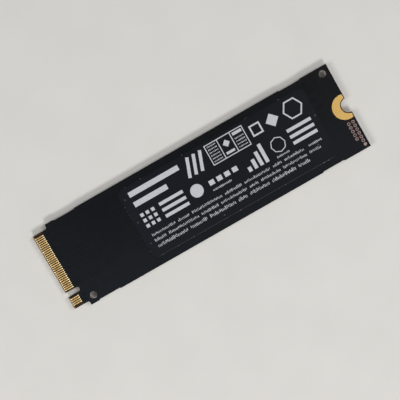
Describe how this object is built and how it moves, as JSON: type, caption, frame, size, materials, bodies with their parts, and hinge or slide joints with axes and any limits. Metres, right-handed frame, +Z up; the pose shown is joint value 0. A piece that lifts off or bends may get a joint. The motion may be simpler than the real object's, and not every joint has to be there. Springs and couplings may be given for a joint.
{
  "type": "gumstick solid state drive",
  "caption": "Thin black edge-card storage drive with a keyed contact tongue, a screw notch, chips on one side and a label on the other.",
  "frame": {"origin": "under the middle of the card, in the plane of the chip tops that the card rests on", "axes": "+X along the card from the contact tongue to the screw notch, +Y across the card with the key slot on the -Y side, +Z up through the labelled back"},
  "size_m": [0.08, 0.022, 0.0023],
  "materials": {
    "board_mask": "black solder mask over glass laminate, brown at the tongue",
    "contact_gold": "gold plated copper",
    "via_metal": "dull plated copper",
    "label_film": "black satin film",
    "label_ink": "pale grey ink",
    "solder": "dull solder",
    "laminate": "green laminate carrier",
    "lid_metal": "nickel plated, satin",
    "moulded_black": "black moulding compound",
    "terminal_tin": "tinned",
    "ceramic_tan": "fired ceramic",
    "ceramic_dark": "glazed black",
    "ferrite_grey": "pressed iron powder",
    "crystal_ceramic": "fired ceramic",
    "fuse_green": "glazed"
  },
  "bodies": {
    "root": {"circuit_board": "board_mask", "contact_fingers_back": "contact_gold", "contact_fingers_front": "contact_gold", "screw_pad_back": "contact_gold", "screw_pad_front": "contact_gold", "test_vias": "via_metal", "back_label": "label_film", "label_print": "label_ink", "controller_solder_balls": "solder", "controller_substrate": "laminate", "controller_lid": "lid_metal", "dram_solder_balls": "solder", "dram_package": "moulded_black", "nand_a_solder_balls": "solder", "nand_a_package": "moulded_black", "nand_b_solder_balls": "solder", "nand_b_package": "moulded_black", "power_chip_body": "moulded_black", "power_chip_leads": "terminal_tin", "load_switch_body": "moulded_black", "load_switch_leads": "terminal_tin", "boot_memory_body": "moulded_black", "boot_memory_leads": "terminal_tin", "crystal_base": "crystal_ceramic", "crystal_lid": "lid_metal", "crystal_pads": "terminal_tin", "regulator_body": "moulded_black", "regulator_leads": "terminal_tin", "inductor_bodies": "ferrite_grey", "inductor_terminals": "terminal_tin", "bulk_capacitor_bodies": "ceramic_tan", "bulk_capacitor_terminals": "terminal_tin", "chip_capacitor_bodies": "ceramic_tan", "chip_capacitor_terminals": "terminal_tin", "chip_resistor_bodies": "ceramic_dark", "chip_resistor_terminals": "terminal_tin", "input_fuse_bodies": "fuse_green", "input_fuse_terminals": "terminal_tin"}
  },
  "joints": []
}
